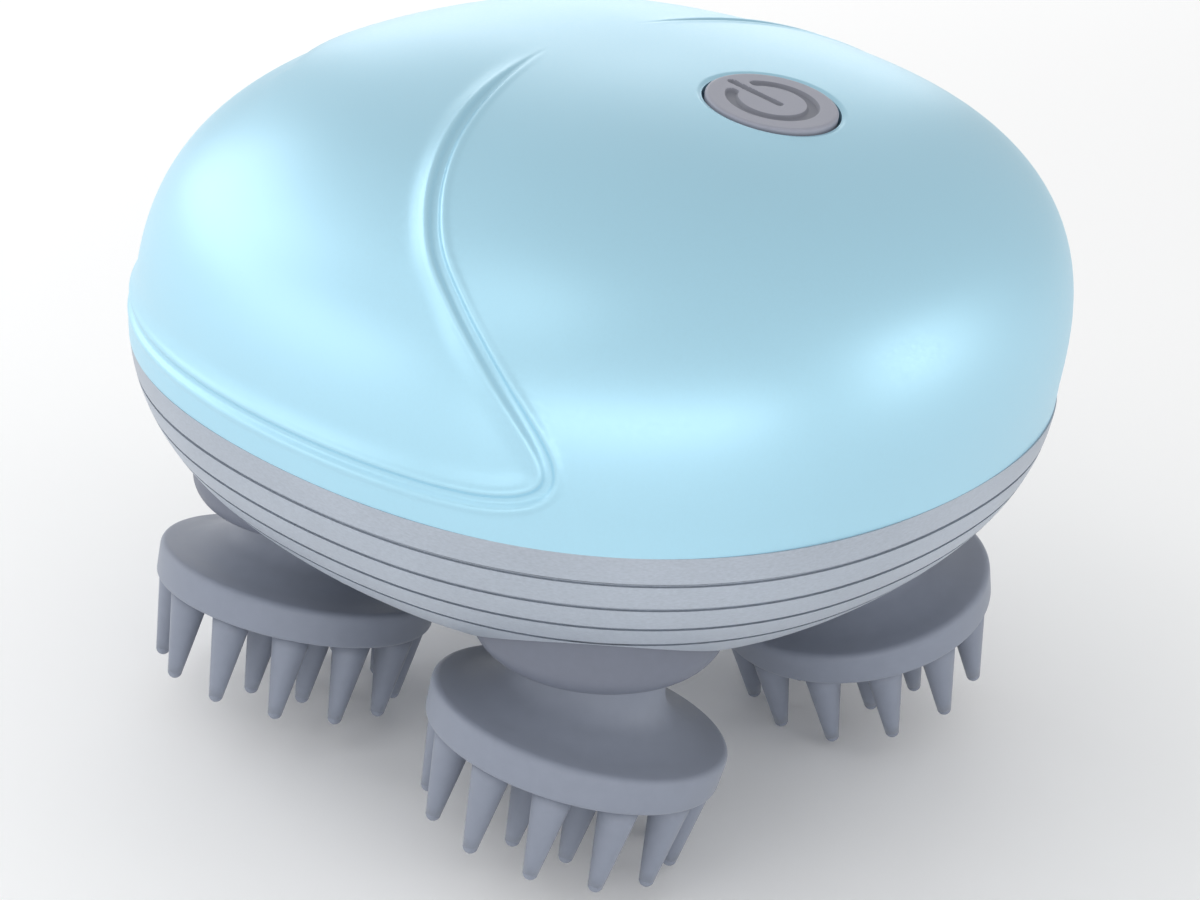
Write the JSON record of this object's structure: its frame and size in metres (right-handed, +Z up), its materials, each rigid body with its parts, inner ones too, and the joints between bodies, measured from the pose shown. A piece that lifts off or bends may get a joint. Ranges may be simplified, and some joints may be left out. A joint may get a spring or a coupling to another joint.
{
  "type": "scalp massager",
  "caption": "Cordless scalp massager: pebble-shaped casing with a power button on top and inclined, bristled silicone heads turning underneath.",
  "frame": {"origin": "on the standing surface, under the middle of the casing and its four heads", "axes": "+Z up through the crown, +Y along the long axis away from the power button towards the charge socket, +X across"},
  "size_m": [0.1001, 0.1046, 0.0835],
  "materials": {
    "casing_blue": "glossy pale blue with a pearl sheen",
    "casing_grey": "satin grey with a fine brushed grain",
    "hub_grey": "satin bluish grey",
    "silicone": "soft matte bluish grey silicone",
    "core_plastic": "glass-filled nylon",
    "button_grey": "satin grey",
    "frame_plastic": "black ABS",
    "gear_plastic": "natural acetal",
    "steel": "ground steel",
    "bronze": "sintered bronze",
    "brass": "turned brass",
    "copper": "enamelled copper windings on laminations",
    "motor_steel": "plated steel",
    "magnet": "ferrite",
    "black_plastic": "black moulding",
    "board": "green solder mask",
    "cell_wrap": "shrink sleeve",
    "seal_rubber": "black rubber"
  },
  "bodies": {
    "housing": {"base_cover": "casing_grey", "battery_cell": "cell_wrap", "battery_cradle": "frame_plastic", "board_components": "black_plastic", "board_screws": "steel", "button_seal": "seal_rubber", "case_gasket": "seal_rubber", "casing_screws": "steel", "charge_contacts": "black_plastic", "charge_socket": "motor_steel", "circuit_board": "board", "compound_axle": "steel", "cover_screw": "steel", "drive_axle": "steel", "drive_clip": "steel", "flap_anchor": "silicone", "gear_tray": "frame_plastic", "gearbox_plate": "frame_plastic", "lower_casing": "casing_grey", "motor_can": "motor_steel", "motor_end_cap": "black_plastic", "motor_magnets": "magnet", "motor_terminals": "brass", "plate_screws": "steel", "shaft_seals": "seal_rubber", "spindle_bushes": "bronze", "tact_switch": "black_plastic", "tray_screws": "steel", "upper_casing": "casing_blue"},
    "hub_front_left": {"crank_hub_front_left": "hub_grey", "spindle_front_left": "steel", "output_gear_front_left": "gear_plastic"},
    "head_front_left": {"massage_head_front_left": "silicone", "head_core_front_left": "core_plastic"},
    "hub_rear_left": {"crank_hub_rear_left": "hub_grey", "spindle_rear_left": "steel", "output_gear_rear_left": "gear_plastic"},
    "head_rear_left": {"massage_head_rear_left": "silicone", "head_core_rear_left": "core_plastic"},
    "hub_front_right": {"crank_hub_front_right": "hub_grey", "spindle_front_right": "steel", "output_gear_front_right": "gear_plastic"},
    "head_front_right": {"massage_head_front_right": "silicone", "head_core_front_right": "core_plastic"},
    "hub_rear_right": {"crank_hub_rear_right": "hub_grey", "spindle_rear_right": "steel", "output_gear_rear_right": "gear_plastic"},
    "head_rear_right": {"massage_head_rear_right": "silicone", "head_core_rear_right": "core_plastic"},
    "compound": {"compound_gear": "gear_plastic"},
    "drive": {"drive_gear": "gear_plastic"},
    "rotor": {"motor_rotor": "copper", "motor_pinion": "brass"},
    "button": {"button_cap": "button_grey", "switch_plunger": "black_plastic"},
    "flap": {"port_flap": "silicone"}
  },
  "joints": [
    {"name": "hub_spin_front_left", "type": "hinge", "parent": "housing", "child": "hub_front_left", "pos_m": [-0.02263, -0.02263, 0.031], "axis": [0, 0, 1], "continuous": true},
    {"name": "head_pull_front_left", "type": "slide", "parent": "hub_front_left", "child": "head_front_left", "axis": [-0.2449, 0.0521, -0.9681], "range_m": [0, 0.01]},
    {"name": "hub_spin_rear_left", "type": "hinge", "parent": "housing", "child": "hub_rear_left", "pos_m": [-0.02263, 0.02263, 0.031], "axis": [0, 0, 1], "continuous": true},
    {"name": "head_pull_rear_left", "type": "slide", "parent": "hub_rear_left", "child": "head_rear_left", "axis": [-0.2504, 0, -0.9681], "range_m": [0, 0.01]},
    {"name": "hub_spin_front_right", "type": "hinge", "parent": "housing", "child": "hub_front_right", "pos_m": [0.02263, -0.02263, 0.031], "axis": [0, 0, 1], "continuous": true},
    {"name": "head_pull_front_right", "type": "slide", "parent": "hub_front_right", "child": "head_front_right", "axis": [0.2287, -0.1018, -0.9681], "range_m": [0, 0.01]},
    {"name": "hub_spin_rear_right", "type": "hinge", "parent": "housing", "child": "hub_rear_right", "pos_m": [0.02263, 0.02263, 0.031], "axis": [0, 0, 1], "continuous": true},
    {"name": "head_pull_rear_right", "type": "slide", "parent": "hub_rear_right", "child": "head_rear_right", "axis": [0.2449, -0.0521, -0.9681], "range_m": [0, 0.01]},
    {"name": "drive_spin", "type": "hinge", "parent": "housing", "child": "drive", "pos_m": [0, 0, 0.041], "axis": [0, 0, 1], "continuous": true},
    {"name": "compound_spin", "type": "hinge", "parent": "housing", "child": "compound", "pos_m": [0.024, 0, 0.041], "axis": [0, 0, 1], "continuous": true},
    {"name": "motor_spin", "type": "hinge", "parent": "housing", "child": "rotor", "pos_m": [0.003, 0, 0.06], "axis": [0, 0, 1], "continuous": true},
    {"name": "power_button_press", "type": "slide", "parent": "housing", "child": "button", "axis": [0, 0.1167, -0.9932], "range_m": [0, 0.0005], "stiffness_N_per_m": 3000},
    {"name": "port_flap_hinge", "type": "hinge", "parent": "housing", "child": "flap", "pos_m": [0, 0.04919, 0.03805], "axis": [-1, 0, 0], "range_deg": [0, 100]}
  ],
  "couplings": [
    {"joint": "hub_spin_rear_left", "follows": "hub_spin_front_left", "ratio": 1},
    {"joint": "hub_spin_front_right", "follows": "hub_spin_front_left", "ratio": 1},
    {"joint": "hub_spin_rear_right", "follows": "hub_spin_front_left", "ratio": 1},
    {"joint": "drive_spin", "follows": "hub_spin_front_left", "ratio": -0.77778},
    {"joint": "compound_spin", "follows": "hub_spin_front_left", "ratio": 2.3333},
    {"joint": "motor_spin", "follows": "hub_spin_front_left", "ratio": -14}
  ]
}
